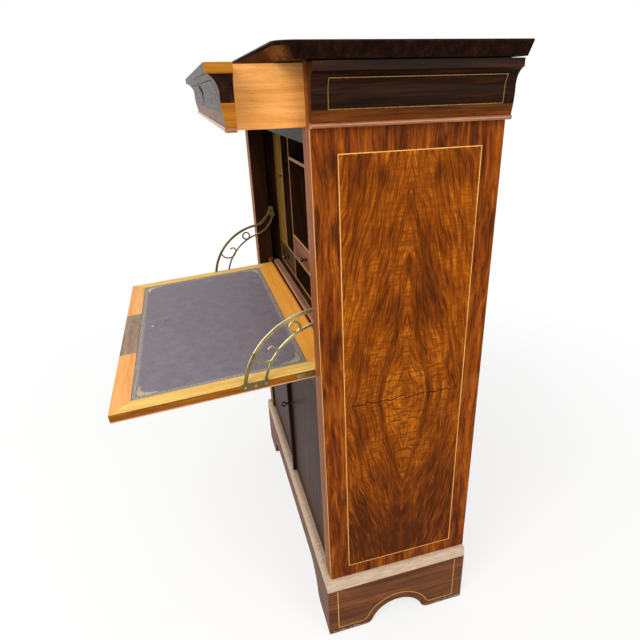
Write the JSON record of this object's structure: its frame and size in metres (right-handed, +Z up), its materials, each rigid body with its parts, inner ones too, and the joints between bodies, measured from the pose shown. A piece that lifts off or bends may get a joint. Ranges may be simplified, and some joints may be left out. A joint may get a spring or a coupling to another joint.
{
  "type": "drop-front writing cabinet",
  "caption": "Drop-front writing cabinet: a fall on brass stays opens a fitted desk, above a cupboard with doors and under a drawer hidden in the cornice.",
  "frame": {"origin": "on the floor, under the middle of the cabinet's box as it stands open at rest", "axes": "+X to the cabinet's right as its user sees it, +Y to its back, +Z up"},
  "size_m": [1.012, 0.7924, 1.3825],
  "materials": {
    "side_veneer": "polished, figured",
    "post_veneer": "polished",
    "dark_veneer": "high polish",
    "plinth_veneer": "polished",
    "pale_moulding": "bare, unpolished",
    "bead_wood": "polished",
    "border_veneer": "polished",
    "patch_veneer": "worn",
    "case_wood": "bare",
    "drawer_wood": "bare",
    "inner_veneer": "polished",
    "red_veneer": "polished",
    "knob_wood": "turned, polished",
    "desk_leather": "tooled, worn",
    "brass": "tarnished",
    "lock_steel": "dull"
  },
  "bodies": {
    "carcass": {"plinth_front": "plinth_veneer", "plinth_sides": "plinth_veneer", "plinth_back": "case_wood", "plinth_moulding": "pale_moulding", "plinth_blocks": "case_wood", "left_post": "post_veneer", "right_post": "post_veneer", "left_side_panel": "side_veneer", "right_side_panel": "side_veneer", "back_panel": "case_wood", "cupboard_floor": "case_wood", "cupboard_shelf": "case_wood", "shelf_bearers": "case_wood", "dividing_board": "case_wood", "middle_rail": "post_veneer", "upper_rail": "post_veneer", "dust_board": "case_wood", "pivot_pins": "lock_steel", "top_board": "dark_veneer", "side_cornices": "dark_veneer", "cornice_beads": "bead_wood", "desk_floor": "inner_veneer", "fitment_case": "inner_veneer", "fitment_partitions": "inner_veneer", "fitment_shelves": "inner_veneer"},
    "fall": {"fall_board": "border_veneer", "fall_borders": "border_veneer", "fall_lock_patch": "patch_veneer", "writing_leather": "desk_leather", "fall_hinge_leaves": "brass", "fall_lock": "lock_steel", "left_stay": "brass", "right_stay": "brass", "stay_studs": "brass"},
    "fall_bolt": {"fall_bolt": "lock_steel"},
    "frieze_drawer": {"frieze_drawer_front": "dark_veneer", "frieze_drawer_bead": "bead_wood", "frieze_drawer_box": "drawer_wood", "frieze_drawer_bottom": "drawer_wood", "frieze_drawer_lock": "lock_steel"},
    "frieze_drawer_bolt": {"frieze_drawer_bolt": "lock_steel"},
    "left_door": {"left_door": "dark_veneer"},
    "right_door": {"right_door": "dark_veneer", "door_lock": "lock_steel"},
    "door_bolt": {"door_bolt": "lock_steel"},
    "door_key": {"door_key": "lock_steel"},
    "centre_drawer": {"centre_drawer_front": "red_veneer", "centre_drawer_tray": "drawer_wood", "centre_drawer_knob": "knob_wood"},
    "left_drawer": {"left_drawer_front": "inner_veneer", "left_drawer_tray": "drawer_wood", "left_drawer_knob": "knob_wood"},
    "right_drawer": {"right_drawer_front": "inner_veneer", "right_drawer_tray": "drawer_wood", "right_drawer_knob": "knob_wood"},
    "left_inner_door": {"left_inner_door": "inner_veneer", "left_inner_door_knob": "knob_wood"},
    "right_inner_door": {"right_inner_door": "inner_veneer", "right_inner_door_knob": "knob_wood"}
  },
  "joints": [
    {"name": "fall_swing", "type": "hinge", "parent": "carcass", "child": "fall", "pos_m": [0, 0.0652, 0.76675], "axis": [-1, 0, 0], "range_deg": [0, 93.66]},
    {"name": "fall_bolt_slide", "type": "slide", "parent": "fall", "child": "fall_bolt", "axis": [0, -0.998, -0.0638], "range_m": [0, 0.008]},
    {"name": "frieze_drawer_slide", "type": "slide", "parent": "carcass", "child": "frieze_drawer", "axis": [0, 1, 0], "range_m": [-0.15, 0.119]},
    {"name": "frieze_drawer_bolt_slide", "type": "slide", "parent": "frieze_drawer", "child": "frieze_drawer_bolt", "axis": [0, 0, 1], "range_m": [0, 0.008]},
    {"name": "left_door_swing", "type": "hinge", "parent": "carcass", "child": "left_door", "pos_m": [-0.3825, 0.0412, 0.45625], "axis": [0, 0, -1], "range_deg": [0, 90]},
    {"name": "right_door_swing", "type": "hinge", "parent": "carcass", "child": "right_door", "pos_m": [0.3825, 0.0412, 0.45625], "axis": [0, 0, 1], "range_deg": [0, 90]},
    {"name": "door_key_turn", "type": "hinge", "parent": "right_door", "child": "door_key", "pos_m": [0.02575, 0.0312, 0.46092], "axis": [0, 1, 0], "range_deg": [0, 180]},
    {"name": "door_bolt_slide", "type": "slide", "parent": "right_door", "child": "door_bolt", "axis": [-1, 0, 0], "range_m": [0, 0.008]},
    {"name": "centre_drawer_slide", "type": "slide", "parent": "carcass", "child": "centre_drawer", "axis": [0, 1, 0], "range_m": [-0.18, 0]},
    {"name": "left_drawer_slide", "type": "slide", "parent": "carcass", "child": "left_drawer", "axis": [0, 1, 0], "range_m": [-0.18, 0]},
    {"name": "right_drawer_slide", "type": "slide", "parent": "carcass", "child": "right_drawer", "axis": [0, 1, 0], "range_m": [-0.18, 0]},
    {"name": "left_inner_door_swing", "type": "hinge", "parent": "carcass", "child": "left_inner_door", "pos_m": [-0.369, 0.1082, 1.0445], "axis": [0, 0, 1], "range_deg": [-90, 0]},
    {"name": "right_inner_door_swing", "type": "hinge", "parent": "carcass", "child": "right_inner_door", "pos_m": [0.369, 0.1082, 1.0445], "axis": [0, 0, -1], "range_deg": [-90, 0]}
  ],
  "couplings": [
    {"joint": "door_key_turn", "follows": "door_bolt_slide", "rad_per_m": 392.7}
  ]
}
